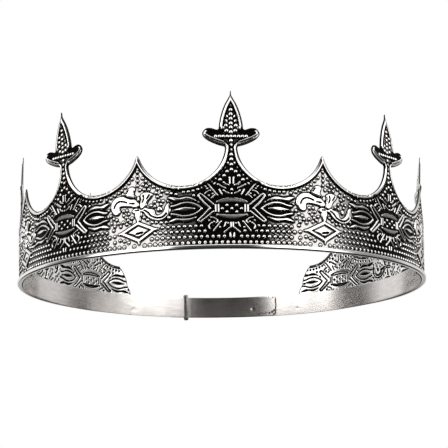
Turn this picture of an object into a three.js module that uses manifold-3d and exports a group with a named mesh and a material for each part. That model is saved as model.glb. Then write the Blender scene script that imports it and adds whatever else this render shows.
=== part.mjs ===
// Adjustable circlet crown.
// One die-struck open sheet carries the crosses and the rolled bottom hem. Two plain
// strips close the back: they lie one inside the other and slide through a keeper loop.
// Millimetres, +Z up, the front of the crown faces -Y. Angles are in degrees round the
// ring, 0 at the front centre and positive towards +X.
import * as THREE from 'three';
import Module from 'manifold-3d';

const wasm = await Module();
wasm.setup();
const { Manifold, Mesh: SolidMesh } = wasm;

// ---- ring
const RING_RADIUS = 90;            // over the relief of the sheet, at the bottom
const FLARE = 0.03;                // the sheet leans out by this much per millimetre up
const UNIT_ANGLE = 45;             // from one cross to the next
const TROUGH_ANGLE = UNIT_ANGLE / 4;
const SPREAD = 0.9;                // the bending sets the front units apart by up to this

// ---- sheet
const SHEET_END = 150.6;           // the sheet stops here on both sides of the back
const WALL_INNER = RING_RADIUS - 1.6;
const WALL_OUTER = RING_RADIUS - 0.3;
const HEM_INNER = RING_RADIUS - 1.8;
const HEM_OUTER = RING_RADIUS + 0.3;
const HEM_HEIGHT = 1.5;
const TROUGH_HEIGHT = 24.3;
const PEAK_HEIGHT = 37.4;
const PEAK_TIP_RUN = 0.9;          // half width of the pointed tip of a peak
const NECK_HALF = 2.2;             // half width of the neck under a cross
const NECK_HEIGHT = 39.8;
const CORNER_DROP = 1.7;           // how far the end of the sheet drops at its upper corner

// ---- cross head, above the neck
const CROSS_HEIGHT = 61;
const BLADE_HALF = 4.4;            // half width of the blade where it meets the lobes
const BLADE_BASE = 46.2;
const BLADE_SHOULDER = 58.6;       // where the blade turns into its needle tip
const BLADE_FULLNESS = 1.8;
const NEEDLE_HALF = 0.25;
const HEAD_BOTTOM = 38.6;
const LOBE_ROOT = 3.4;             // distance of the lobe's lower corner from the middle
const LOBE_TIP = 10.5;
const LOBE_TIP_HEIGHT = 43.4;
const LOBE_TOP = 45.9;
const LOBE_RISE = 2.3;             // the lower edge rises this much out to the tip

// ---- strips and keeper
const STRIP_HEIGHT = 10.4;
const STRIP_THICKNESS = 0.6;
const STRIP_OUTER = HEM_INNER - 0.3;
const LAYER_STEP = STRIP_THICKNESS + 0.5;
const STRIP_START = 91;            // both strips begin under the sheet, at the hinge
const JOGGLE_FROM = 128;           // the left strip steps in between these two angles
const JOGGLE_TO = 144;
const LEFT_END = 180 + 21.3;       // past the back centre, counted from the front
const RIGHT_END = 180 + 15.7;
const LEFT_CORNER = 2.4;           // cut corner at the foot of the left strip's end
const KEEPER_ANGLE = 180 - 10;     // on the left side
const KEEPER_WIDTH = 1.9;
const KEEPER_WALL = 0.8;
const KEEPER_RADIAL_GAP = 0.35;
const KEEPER_BOTTOM = -2.2;
const KEEPER_TOP = 11.8;
const STOP_ANGLE = 180 + 13.3;     // raised stop near the end of the left strip
const STOP_HEIGHT = 3.7;
const STOP_RADIUS = 0.8;
const STOP_RISE = 0.3;

const STEP_ANGLE = 2.5;            // facet size of the plain curved stretches
const RADIANS = Math.PI / 180;
const arcLength = angle => angle * RADIANS * RING_RADIUS;
const arcAngle = length => length / RING_RADIUS / RADIANS;

// Where a place of the even pattern ends up on the bent sheet.
function spread(angle) {
  return Math.abs(angle) < 90 ? angle + SPREAD * Math.sin(2 * angle * RADIANS) : angle;
}

function steps(from, to, count) {
  return Array.from({ length: count + 1 }, (_, i) => from + (to - from) * i / count);
}

function smoothstep(from, to, x) {
  return THREE.MathUtils.smoothstep(x, from, to);
}

// A closed wall bent round the ring. Each column has an angle, a low and a high edge;
// inner and outer give the two radii at an angle.
function bentWall(columns, inner, outer, lean = 0) {
  const corners = [];
  for (const { angle, low, high } of columns) {
    const ring = [[inner(angle), low], [outer(angle), low], [outer(angle), high],
      [inner(angle), high]];
    for (const [radius, z] of ring) {
      const r = radius + lean * z;
      corners.push(r * Math.sin(angle * RADIANS), -r * Math.cos(angle * RADIANS), z);
    }
  }
  const faces = [0, 1, 2, 0, 2, 3];
  for (let i = 0; i < columns.length - 1; i++) {
    for (let side = 0; side < 4; side++) {
      const a = 4 * i + side;
      const b = 4 * i + (side + 1) % 4;
      faces.push(a, a + 4, b + 4, a, b + 4, b);
    }
  }
  const last = 4 * (columns.length - 1);
  faces.push(last, last + 2, last + 1, last, last + 3, last + 2);
  const geometry = new THREE.BufferGeometry();
  geometry.setAttribute('position', new THREE.Float32BufferAttribute(corners, 3));
  geometry.setIndex(faces);
  return geometry;
}

function toSolid(geometry) {
  const mesh = new SolidMesh({
    numProp: 3,
    vertProperties: new Float32Array(geometry.attributes.position.array),
    triVerts: new Uint32Array(geometry.index.array),
  });
  mesh.merge();
  return new Manifold(mesh);
}

function toGeometry(solid) {
  const mesh = solid.getMesh();
  const geometry = new THREE.BufferGeometry();
  geometry.setAttribute('position', new THREE.Float32BufferAttribute(mesh.vertProperties, 3));
  geometry.setIndex(Array.from(mesh.triVerts));
  return geometry;
}

// Top edge of the sheet from a cross (0) to the peak (half a unit), as angle and height.
// Two arcs meet in the trough; the second one runs up to the pointed peak.
function halfUnitEdge() {
  const run = arcLength(TROUGH_ANGLE);
  const crossArc = run - NECK_HALF;
  const points = [{ angle: 0, height: NECK_HEIGHT + 1 }];
  for (const turn of steps(90, 0, 9)) {
    const s = run - crossArc * Math.sin(turn * RADIANS);
    const z = TROUGH_HEIGHT + crossArc * (1 - Math.cos(turn * RADIANS));
    points.push({ angle: arcAngle(s), height: Math.min(z, NECK_HEIGHT) });
  }
  const tipTurn = Math.asin((run - PEAK_TIP_RUN) / (run + 0.3)) / RADIANS;
  for (const turn of steps(0, tipTurn, 8).slice(1)) {
    const s = run + (run + 0.3) * Math.sin(turn * RADIANS);
    const z = TROUGH_HEIGHT + (run + 0.3) * (1 - Math.cos(turn * RADIANS));
    points.push({ angle: arcAngle(s), height: z });
  }
  points.push({ angle: UNIT_ANGLE / 2, height: PEAK_HEIGHT });
  return points;
}

// The whole top edge, mirrored and repeated round the ring, ending in the cut ends.
function sheetColumns() {
  const half = halfUnitEdge();
  const edge = new Map();
  for (let cross = -3; cross <= 3; cross++) {
    for (const side of [-1, 1]) {
      for (const { angle, height } of half) {
        const place = spread(cross * UNIT_ANGLE + side * angle);
        edge.set(place.toFixed(3), { angle: place, low: 0, high: height });
      }
    }
  }
  const cornerAngle = 3 * UNIT_ANGLE + TROUGH_ANGLE + 0.6;
  const columns = [...edge.values()]
    .filter(({ angle }) => Math.abs(angle) < cornerAngle)
    .sort((a, b) => a.angle - b.angle);
  for (const side of [-1, 1]) {
    const end = [
      { angle: cornerAngle, high: TROUGH_HEIGHT },
      { angle: cornerAngle + 0.7, high: TROUGH_HEIGHT - CORNER_DROP },
      { angle: SHEET_END - 1.9, high: 19 },
      { angle: SHEET_END - 1.2, high: 15 },
      { angle: SHEET_END - 0.4, high: 12 },
      { angle: SHEET_END, high: 9.5 },
    ].map(({ angle, high }) => ({ angle: side * angle, low: 0, high }));
    if (side < 0) columns.unshift(...end.reverse());
    else columns.push(...end);
  }
  return columns;
}

function hemColumns() {
  const count = Math.round(2 * SHEET_END / STEP_ANGLE);
  return steps(-SHEET_END, SHEET_END, count).map(angle => ({ angle, low: 0, high: HEM_HEIGHT }));
}

// Cross head: lancet blade with a needle tip over two upturned lobes.
function crossColumns(centre) {
  const blade = s => BLADE_BASE + (BLADE_SHOULDER - BLADE_BASE)
    * Math.pow(1 - s / BLADE_HALF, 1 / BLADE_FULLNESS);
  const lobeFoot = s => HEAD_BOTTOM + 0.8
    + LOBE_RISE * (s - LOBE_ROOT) / (LOBE_TIP - 1 - LOBE_ROOT);
  const side = [
    { s: 0, low: HEAD_BOTTOM, high: CROSS_HEIGHT },
    ...steps(NEEDLE_HALF, NECK_HALF, 3).map(s => ({ s, low: HEAD_BOTTOM, high: blade(s) })),
    ...steps(LOBE_ROOT, BLADE_HALF, 2).map(s => ({ s, low: lobeFoot(s), high: blade(s) })),
    { s: BLADE_HALF + 0.4, low: lobeFoot(BLADE_HALF + 0.4), high: LOBE_TOP - 0.9 },
    { s: BLADE_HALF + 1.6, low: lobeFoot(BLADE_HALF + 1.6), high: LOBE_TOP - 0.3 },
    { s: LOBE_TIP - 2.6, low: lobeFoot(LOBE_TIP - 2.6), high: LOBE_TOP },
    { s: LOBE_TIP - 1, low: lobeFoot(LOBE_TIP - 1), high: LOBE_TOP - 0.5 },
    { s: LOBE_TIP, low: LOBE_TIP_HEIGHT - 0.5, high: LOBE_TIP_HEIGHT + 0.5 },
  ];
  const mirrored = side.slice(1).reverse().map(p => ({ ...p, s: -p.s }));
  return [...mirrored, ...side]
    .map(({ s, low, high }) => ({ angle: spread(centre + arcAngle(s)), low, high }));
}

function ornateSheet() {
  const wall = bentWall(sheetColumns(), () => WALL_INNER, () => WALL_OUTER, FLARE);
  const hem = bentWall(hemColumns(), () => HEM_INNER, () => HEM_OUTER);
  const parts = [toSolid(wall), toSolid(hem)];
  for (let cross = -3; cross <= 3; cross++) {
    const columns = crossColumns(cross * UNIT_ANGLE);
    parts.push(toSolid(bentWall(columns, () => WALL_INNER, () => WALL_OUTER, FLARE)));
  }
  return toGeometry(Manifold.union(parts));
}

// A plain strip from the hinge round the back. side is -1 on the left, 1 on the right.
function stripGeometry(side, endAngle, outer, cut) {
  const turned = arcAngle(cut);
  const count = Math.round((endAngle - turned - STRIP_START) / STEP_ANGLE);
  const columns = steps(STRIP_START, endAngle - turned, count)
    .map(angle => ({ angle, low: 0, high: STRIP_HEIGHT }));
  columns.push({ angle: endAngle - turned * 0.3, low: cut * 0.65, high: STRIP_HEIGHT });
  columns.push({ angle: endAngle, low: cut, high: STRIP_HEIGHT - 0.5 });
  const placed = side > 0 ? columns
    : columns.map(column => ({ ...column, angle: -column.angle })).reverse();
  const at = angle => outer(Math.abs(angle));
  return bentWall(placed, angle => at(angle) - STRIP_THICKNESS, at);
}

function leftStrip() {
  const outer = angle => STRIP_OUTER - LAYER_STEP * smoothstep(JOGGLE_FROM, JOGGLE_TO, angle);
  const strip = toSolid(stripGeometry(-1, LEFT_END, outer, LEFT_CORNER));
  const face = STRIP_OUTER - LAYER_STEP - STRIP_THICKNESS;
  const profile = [[0, -0.2], [STOP_RADIUS, -0.2], [STOP_RADIUS, 0]];
  for (const turn of steps(15, 90, 4)) {
    profile.push([STOP_RADIUS * Math.cos(turn * RADIANS), STOP_RISE * Math.sin(turn * RADIANS)]);
  }
  profile[profile.length - 1][0] = 0;
  const dome = new THREE.LatheGeometry(profile.map(([x, y]) => new THREE.Vector2(x, y)), 16);
  const angle = -STOP_ANGLE * RADIANS;
  const inward = new THREE.Vector3(-Math.sin(angle), Math.cos(angle), 0);
  const turn = new THREE.Quaternion()
    .setFromUnitVectors(new THREE.Vector3(0, 1, 0), inward);
  dome.applyQuaternion(turn);
  dome.translate(-inward.x * face, -inward.y * face, STOP_HEIGHT);
  return toGeometry(Manifold.union([strip, toSolid(dome)]));
}

// Keeper loop: a flat wire bent into a closed rectangle round both strips.
function keeperLoop() {
  const innerFace = STRIP_OUTER - LAYER_STEP - STRIP_THICKNESS - KEEPER_RADIAL_GAP;
  const outerFace = STRIP_OUTER + KEEPER_RADIAL_GAP;
  const corner = 0.5;
  const rectangle = (x0, x1, z0, z1, shape) => {
    shape.moveTo(x0 + corner, z0);
    shape.lineTo(x1 - corner, z0);
    shape.quadraticCurveTo(x1, z0, x1, z0 + corner);
    shape.lineTo(x1, z1 - corner);
    shape.quadraticCurveTo(x1, z1, x1 - corner, z1);
    shape.lineTo(x0 + corner, z1);
    shape.quadraticCurveTo(x0, z1, x0, z1 - corner);
    shape.lineTo(x0, z0 + corner);
    shape.quadraticCurveTo(x0, z0, x0 + corner, z0);
    return shape;
  };
  const outline = rectangle(innerFace - KEEPER_WALL, outerFace + KEEPER_WALL,
    KEEPER_BOTTOM, KEEPER_TOP, new THREE.Shape());
  outline.holes.push(rectangle(innerFace, outerFace, KEEPER_BOTTOM + KEEPER_WALL,
    KEEPER_TOP - KEEPER_WALL, new THREE.Path()));
  const loop = new THREE.ExtrudeGeometry(outline,
    { depth: KEEPER_WIDTH, bevelEnabled: false, curveSegments: 3 });
  loop.translate(0, 0, -KEEPER_WIDTH / 2);
  loop.rotateX(Math.PI / 2);
  loop.rotateZ((-KEEPER_ANGLE - 90) * RADIANS);
  return loop;
}

function piece(name, geometry, colour, roughness) {
  const material = new THREE.MeshStandardMaterial({ color: colour, roughness, metalness: 1 });
  const mesh = new THREE.Mesh(geometry, material);
  mesh.name = name;
  return mesh;
}

const crown = new THREE.Group();
crown.name = 'crown';
crown.add(
  piece('ornate_sheet', ornateSheet(), 0x8b8984, 0.42),
  piece('left_band', leftStrip(), 0xc9c5be, 0.3),
  piece('right_band', stripGeometry(1, RIGHT_END, () => STRIP_OUTER, 0.6), 0xc4c0b9, 0.3),
  piece('keeper_loop', keeperLoop(), 0x9b948d, 0.35),
);

// The origin is the middle of the crown's box, at the bottom.
const box = new THREE.Box3().setFromObject(crown);
const middle = box.getCenter(new THREE.Vector3());
for (const mesh of crown.children) {
  mesh.geometry.translate(-middle.x, -middle.y, -box.min.z);
}

export default crown;
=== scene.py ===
"""Adjustable circlet crown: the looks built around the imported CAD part.

Lengths are millimetres up to the point where a mesh is made. A place on the sheet is
(s, z): s runs round the ring from the front centre, positive towards +X, and z is the
height over the bottom of the sheet.
"""

import math

import bpy
import numpy as np
from mathutils import Matrix, Vector


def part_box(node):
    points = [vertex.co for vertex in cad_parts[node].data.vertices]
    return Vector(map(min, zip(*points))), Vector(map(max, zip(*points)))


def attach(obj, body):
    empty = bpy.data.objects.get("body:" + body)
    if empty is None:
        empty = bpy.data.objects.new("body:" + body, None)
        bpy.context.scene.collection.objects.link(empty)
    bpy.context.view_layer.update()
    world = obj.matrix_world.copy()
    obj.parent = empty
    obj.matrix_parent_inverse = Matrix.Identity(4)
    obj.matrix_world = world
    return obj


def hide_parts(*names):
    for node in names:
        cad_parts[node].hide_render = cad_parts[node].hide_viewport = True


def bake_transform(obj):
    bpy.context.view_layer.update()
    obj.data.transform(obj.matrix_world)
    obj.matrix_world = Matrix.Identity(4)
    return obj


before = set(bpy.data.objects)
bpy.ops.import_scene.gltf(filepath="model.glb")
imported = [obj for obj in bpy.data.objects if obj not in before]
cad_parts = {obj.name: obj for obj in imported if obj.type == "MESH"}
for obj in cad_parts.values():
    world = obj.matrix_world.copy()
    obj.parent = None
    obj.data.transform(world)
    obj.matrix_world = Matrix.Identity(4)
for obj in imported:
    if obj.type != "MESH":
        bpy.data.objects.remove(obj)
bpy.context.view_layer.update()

MM = 0.001
sheet_low, sheet_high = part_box("ornate_sheet")
BASE_Z = sheet_low.z / MM  # bottom of the sheet in the row frame
CENTRE_Y = (sheet_low.y + sheet_high.x) / MM  # the ring's axis

# ---- ring and sheet
RING = 90.0  # radius that s is measured on
FLARE = 0.03  # the sheet leans out by this much per millimetre up
GROUND = 89.05  # radius of the sheet's outer face between the relief
SHEET = 0.45  # thickness of the sheet
RUN = RING * math.radians(11.25)  # from a cross or a peak to the trough beside it
TROUGH = 24.3  # heights of the outline over the bottom of the sheet
PEAK = 37.4
TIP_Z = 61.0
NECK_RADIUS = RUN - 2.2  # of the outline's arc from a trough up to a cross
PEAK_RADIUS = RUN + 0.3  # and of its arc up to a peak
SPREAD = math.radians(0.9)  # the bending sets the front units apart by up to this

# ---- lattice of the sheet
UNIT_COLUMNS = 84  # columns from a cross to the trough beside it
STEP = RUN / UNIT_COLUMNS
ROW = 0.21
FIRST_Z = 0.8  # the sheet starts inside the hem roll
PERIOD_COLUMNS = 4 * UNIT_COLUMNS
PERIOD = 4 * RUN
ROWS = int((TIP_Z + 0.4 - FIRST_Z) / ROW) + 1
SNAP = 0.6 * ROW  # points this close to the outline move onto it
OUTLINE_PITCH = 0.12
ARC_POINTS = 60
BATCH = 4000  # points measured at a time


def unit(x):
    """Limited to the range from 0 to 1."""
    return np.clip(x, 0, 1)


def eased(t):
    """Smooth from 0 to 1."""
    t = unit(t)
    return t * t * (3 - 2 * t)


# ======== curves
def smooth_line(points, per_span=8, closed=False):
    """A Catmull-Rom curve through the points; extra columns are carried along."""
    p = np.asarray(points, float)
    if closed:
        p = np.vstack([p[-1:], p, p[:2]])
    else:
        p = np.vstack([2 * p[0] - p[1], p, 2 * p[-1] - p[-2]])
    out = []
    t = np.linspace(0, 1, per_span, endpoint=False)[:, None]
    for a, b, c, d in zip(p[:-3], p[1:-2], p[2:-1], p[3:]):
        out.append(0.5 * (2 * b + (c - a) * t + (2 * a - 5 * b + 4 * c - d) * t ** 2
                          + (3 * b - a - 3 * c + d) * t ** 3))
    if not closed:
        out.append(p[-2:-1])
    return np.vstack(out)


def resample(line, pitch):
    """The same line in even steps of about the pitch."""
    steps = np.hypot(*np.diff(line, axis=0).T)
    along = np.concatenate([[0], np.cumsum(steps)])
    count = max(2, int(round(along[-1] / pitch)) + 1)
    places = np.linspace(0, along[-1], count)
    return np.stack([np.interp(places, along, line[:, i]) for i in range(2)], 1)


def nearest(points, line):
    """Distance from each point to an open line, and the nearest place on it."""
    best = np.full(len(points), np.inf)
    foot = np.zeros((len(points), 2))
    for first in range(0, len(points), BATCH):
        p = points[first:first + BATCH]
        gap = ((p[:, None, :] - line[None, :, :]) ** 2).sum(2)
        i = gap.argmin(1)
        for a_index in (np.maximum(i - 1, 0), np.minimum(i, len(line) - 2)):
            a = line[a_index]
            b = line[a_index + 1]
            ab = b - a
            t = ((p - a) * ab).sum(1) / np.maximum((ab * ab).sum(1), 1e-12)
            q = a + unit(t)[:, None] * ab
            d = np.hypot(*(p - q).T)
            better = d < best[first:first + BATCH]
            rows = first + np.nonzero(better)[0]
            best[rows] = d[better]
            foot[rows] = q[better]
    return best, foot


def inside(points, polygon):
    """Whether each point lies inside a closed polygon."""
    x, y = points.T
    result = np.zeros(len(points), bool)
    ax, ay = polygon[-1]
    for bx, by in polygon:
        if ay != by:
            crosses = (ay > y) != (by > y)
            result ^= crosses & (x < ax + (y - ay) * (bx - ax) / (by - ay))
        ax, ay = bx, by
    return result


# ======== outline of the sheet
def cross_half():
    """The outline from the needle tip down the right side of a cross to the trough."""
    needle = np.array([(0, TIP_Z), (0.16, TIP_Z - 0.2), (0.24, 59.3), (0.5, 58.7)])
    blade = smooth_line([(0.5, 58.7), (1.3, 57.2), (2.1, 55.7), (3.1, 53.1),
                         (3.9, 50.2), (4.35, 47.6), (4.45, 46.3), (4.6, 45.8)])
    lobe = smooth_line([(4.6, 45.8), (5.3, 45.6), (6.4, 46.0), (7.6, 46.25), (8.9, 46.1),
                        (9.8, 45.4), (10.4, 44.3), (10.35, 43.4), (9.6, 42.3),
                        (8.0, 41.1), (5.4, 39.9), (3.7, 39.35), (2.7, 39.15)])
    turn = np.radians(np.linspace(86, 0, ARC_POINTS))
    arc = np.stack([RUN - NECK_RADIUS * np.sin(turn),
                    TROUGH + NECK_RADIUS * (1 - np.cos(turn))], 1)
    return np.vstack([needle, blade[1:], lobe[1:], arc])


def peak_half():
    """The outline from the trough up to the pointed peak at s = 2 RUN."""
    turn = np.linspace(0, math.asin((RUN - 0.75) / PEAK_RADIUS), ARC_POINTS)
    arc = np.stack([RUN + PEAK_RADIUS * np.sin(turn),
                    TROUGH + PEAK_RADIUS * (1 - np.cos(turn))], 1)
    tip = np.array([(2 * RUN - 0.35, PEAK - 0.5), (2 * RUN, PEAK)])
    return np.vstack([arc, tip])


def mirrored(line, about=0.0):
    return np.stack([2 * about - line[::-1, 0], line[::-1, 1]], 1)


right = cross_half()
rise = peak_half()
outline = np.vstack([mirrored(right), right[1:], rise[1:], mirrored(rise, 2 * RUN)[1:]])
outline = resample(outline, OUTLINE_PITCH)
outline_polygon = np.vstack([outline, [(3 * RUN, -5.0), (-RUN, -5.0)]])
left_copy = outline - (PERIOD, 0)
right_copy = outline + (PERIOD, 0)
MARGIN = 9  # how much of the neighbouring units is kept
long_outline = np.vstack([left_copy[left_copy[:, 0] > -RUN - MARGIN], outline,
                          right_copy[right_copy[:, 0] < 3 * RUN + MARGIN]])

column = np.arange(PERIOD_COLUMNS)
lattice_s = np.repeat((-RUN + column * STEP)[:, None], ROWS, 1)
lattice_z = np.repeat((FIRST_Z + np.arange(ROWS) * ROW)[None, :], PERIOD_COLUMNS, 0)
flat = np.stack([lattice_s.ravel(), lattice_z.ravel()], 1)
depth, foot = nearest(flat, long_outline)
depth = np.where(inside(flat, outline_polygon), depth, -depth)


def snapped(points, depth, foot):
    """Points close to a line move onto it, where their depth is nought."""
    near = np.abs(depth) < SNAP
    moved = np.where(near[:, None], foot, points)
    return moved, np.where(near, 0.0, depth)


moved, depth = snapped(flat, depth, foot)
shape = (PERIOD_COLUMNS, ROWS)
edge_depth = depth.reshape(shape)
place_s = moved[:, 0].reshape(shape)
place_z = moved[:, 1].reshape(shape)

# ======== relief of the sheet
relief = np.zeros(shape)
ground_cut = np.zeros(shape)  # creases cut into the raised shapes
barrel_bars = np.zeros(shape)  # the two plates of the barrel, which get painted dark reflection
SHOULDER = 0.62  # widest rounding of a bar


def around(points, reach):
    """Blocks of the lattice that a shape touches, with the shape moved by whole periods."""
    lo, hi = points.min(0) - reach, points.max(0) + reach
    r0 = max(int(math.floor((lo[1] - FIRST_Z) / ROW)), 0)
    r1 = min(int(math.ceil((hi[1] - FIRST_Z) / ROW)) + 1, ROWS)
    for shift in (-PERIOD, 0.0, PERIOD):
        c0 = max(int(math.floor((lo[0] + shift + RUN) / STEP)), 0)
        c1 = min(int(math.ceil((hi[0] + shift + RUN) / STEP)) + 1, PERIOD_COLUMNS)
        if c0 < c1 and r0 < r1:
            block = (slice(c0, c1), slice(r0, r1))
            yield block, np.stack([lattice_s[block] - shift, lattice_z[block]], -1)


def shoulder(depth_in, width):
    t = unit(depth_in / width)
    return np.sqrt(1 - (1 - t) ** 2)


def stroke(points, radius, height=0.42, smooth=True, cut=False):
    """A raised round bar along a line; radius may be one number or one per point. A cut
    bar is a crease of that depth."""
    p = np.asarray(points, float)
    r = np.broadcast_to(np.asarray(radius, float), (len(p),))
    rows = np.column_stack([p, r])
    if smooth and len(p) > 2:
        rows = smooth_line(rows, 6)
    for block, grid in around(rows[:, :2], float(rows[:, 2].max())):
        value = np.zeros(grid.shape[:2])
        for a, b in zip(rows[:-1], rows[1:]):
            ab = b[:2] - a[:2]
            t = unit(((grid - a[:2]) @ ab) / max(float(ab @ ab), 1e-9))
            gap = np.hypot(grid[..., 0] - a[0] - t * ab[0], grid[..., 1] - a[1] - t * ab[1])
            reach = a[2] + (b[2] - a[2]) * t
            value = np.maximum(value, shoulder(reach - gap, np.minimum(reach, SHOULDER)))
        target = ground_cut if cut else relief
        target[block] = np.maximum(target[block], height * value)


def plate(points, height, edge, smooth=True):
    """A raised filled shape with rounded shoulders."""
    line = smooth_line(points, 6, closed=True) if smooth else np.asarray(points, float)
    ring = resample(np.vstack([line, line[:1]]), 0.15)
    for block, grid in around(ring, 0.2):
        p = grid.reshape(-1, 2)
        gap, _ = nearest(p, ring)
        gap = np.where(inside(p, ring), gap, 0).reshape(grid.shape[:2])
        relief[block] = np.maximum(relief[block], height * shoulder(gap, edge))


def bead(s, z, radius, height=0.42):
    spot = np.array([[s, z]])
    for block, grid in around(spot, radius):
        gap = np.hypot(grid[..., 0] - s, grid[..., 1] - z) / radius
        dome = height * np.sqrt(unit(1 - gap ** 2))
        relief[block] = np.maximum(relief[block], dome)


def both(draw, points, *args, **kwargs):
    """Draws a shape of the cross unit and its mirror image."""
    p = np.asarray(points, float)
    draw(p, *args, **kwargs)
    draw(p * (-1, 1), *args, **kwargs)


def bars(rows):
    """Bars of the cross unit and their mirror images, each as what stroke is given."""
    for row in rows:
        both(stroke, *row)


def beads(spots, radius, height):
    """Beads of the cross unit and their mirror images."""
    for s, z in spots:
        bead(s, z, radius, height)
        if s:
            bead(-s, z, radius, height)


def mark_dark(points):
    """Notes the lattice inside a plate of the barrel, where painted dark reflection goes."""
    line = smooth_line(points, 6, closed=True)
    for block, grid in around(line, 0.2):
        hit = inside(grid.reshape(-1, 2), line).reshape(grid.shape[:2])
        barrel_bars[block] = np.maximum(barrel_bars[block], hit)


def draw_barrel():
    """Two plates with beads between them, in the middle of the cross unit."""
    top = [(-5.8, 17.3), (-4.6, 18.3), (-2.4, 18.9), (0, 19.1), (2.4, 18.9), (4.6, 18.3),
           (5.8, 17.3), (3.4, 17.25), (0, 17.4), (-3.4, 17.25)]
    plate(top, 0.40, 0.8)
    mark_dark(top)
    stroke([(-5.5, 17.8), (-3.2, 18.7), (0, 19.05), (3.2, 18.7), (5.5, 17.8)], 0.24, 0.46)
    foot_bar = [(-5.3, 13.2), (-3.2, 13.1), (0, 13.0), (3.2, 13.1), (5.3, 13.2), (4.6, 12.1),
                (2.4, 11.4), (0, 11.15), (-2.4, 11.4), (-4.6, 12.1)]
    plate(foot_bar, 0.40, 0.8)
    mark_dark(foot_bar)
    bars([([(4.85, 13.9), (4.85, 16.6)], 0.38), ([(5.85, 14.0), (5.85, 16.5)], 0.38)])
    beads([(5.3, 12.8)], 0.5, 0.55)
    beads([(1.8, 16.4), (0, 15.15), (3.5, 15.15), (1.8, 13.9)], 0.62, 0.44)


def draw_chevrons():
    """Arrows beside the barrel."""
    bars([([(10.7, 20.4), (11.5, 20.9), (12.25, 20.3), (10.2, 17.6), (7.9, 15.3)],
           0.42, 0.44, False),
          ([(7.9, 15.3), (10.3, 12.8), (12.4, 10.8), (11.6, 10.2), (10.8, 10.7)],
           0.42, 0.44, False),
          ([(10.7, 20.4), (8.7, 18.6), (6.7, 16.8)], 0.42),
          ([(6.7, 14.1), (8.7, 12.4), (10.8, 10.7)], 0.42)])


def draw_eyes():
    """A spindle between two lines and two leaves, out from the arrows."""
    upper = [(10.9, 15.3), (12.8, 16.7), (15.3, 17.6), (18.0, 17.6), (20.6, 16.8), (22.2, 16.6)]
    lower = [(10.9, 15.2), (12.8, 13.7), (15.3, 12.8), (18.0, 12.7), (20.6, 13.4), (22.2, 13.7)]
    bars([(upper, 0.40), (lower, 0.40)])
    spindle = [(13.3, 15.4), (15.0, 15.95), (17.6, 16.15), (20.2, 15.6), (21.2, 15.2),
               (20.0, 14.9), (17.6, 14.55), (15.0, 14.85)]
    both(plate, spindle, 0.46, 0.6)
    leaf_up = [(12.9, 18.3), (14.4, 19.5), (16.6, 20.1), (19.2, 19.7), (21.6, 20.2),
               (23.5, 20.1), (22.3, 19.2), (20.8, 18.5), (18.4, 18.75), (15.6, 18.75)]
    leaf_low = [(12.9, 12.3), (14.4, 11.1), (16.6, 10.5), (19.2, 10.9), (21.4, 10.6),
                (23.4, 10.6), (22.2, 11.5), (20.6, 12.0), (18.4, 11.8), (15.6, 11.8)]
    both(plate, leaf_up, 0.42, 0.5)
    both(plate, leaf_low, 0.42, 0.5)


def draw_fleur():
    """Small bars above the barrel."""
    bars([([(0.68, 24.6), (0.68, 26.6)], 0.34, 0.44),
          ([(1.2, 24.1), (2.1, 24.4), (2.9, 25.2)], 0.40),
          ([(2.3, 22.9), (3.6, 23.5), (5.0, 24.4)], 0.40),
          ([(3.6, 20.6), (4.5, 22.4)], 0.38),
          ([(1.2, 21.0), (2.2, 21.4), (3.0, 22.1)], 0.38),
          ([(9.7, 20.9), (8.9, 21.7), (7.8, 22.1)], 0.34, 0.4),
          ([(7.3, 19.3), (6.2, 20.4)], 0.34, 0.4)])
    beads([(0.74, 26.9)], 0.5, 0.48)
    bead(0, 22.4, 0.6, 0.44)
    bead(0, 20.9, 0.45, 0.4)
    both(stroke, [(5.3, 20.3), (8.3, 24.2), (9.3, 24.9), (10.1, 24.2), (9.4, 23.5)],
         0.36, 0.44, smooth=False)
    beads([(8.9, 22.9), (6.9, 20.9)], 0.38, 0.36)


def draw_root():
    """Small bars below the barrel."""
    bars([([(0.38, 9.8), (0.38, 8.3), (1.4, 7.4), (2.8, 6.2)], 0.40),
          ([(0.75, 5.9), (0.62, 4.6)], (0.32, 0.5), 0.44),
          ([(4.0, 10.3), (5.2, 8.7), (6.7, 6.8)], 0.40),
          ([(7.6, 11.9), (6.3, 11.5), (5.2, 10.5), (5.7, 9.7)], 0.34, 0.4),
          ([(7.3, 9.9), (8.4, 8.7), (8.1, 7.6)], 0.34, 0.4),
          ([(2.3, 9.9), (2.9, 8.3)], 0.32, 0.4)])
    beads([(1.4, 9.6), (4.4, 8.1), (6.5, 10.2)], 0.42, 0.38)


def at_peak(points):
    return np.asarray(points, float) + (PEAK_UNIT, 0)


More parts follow.
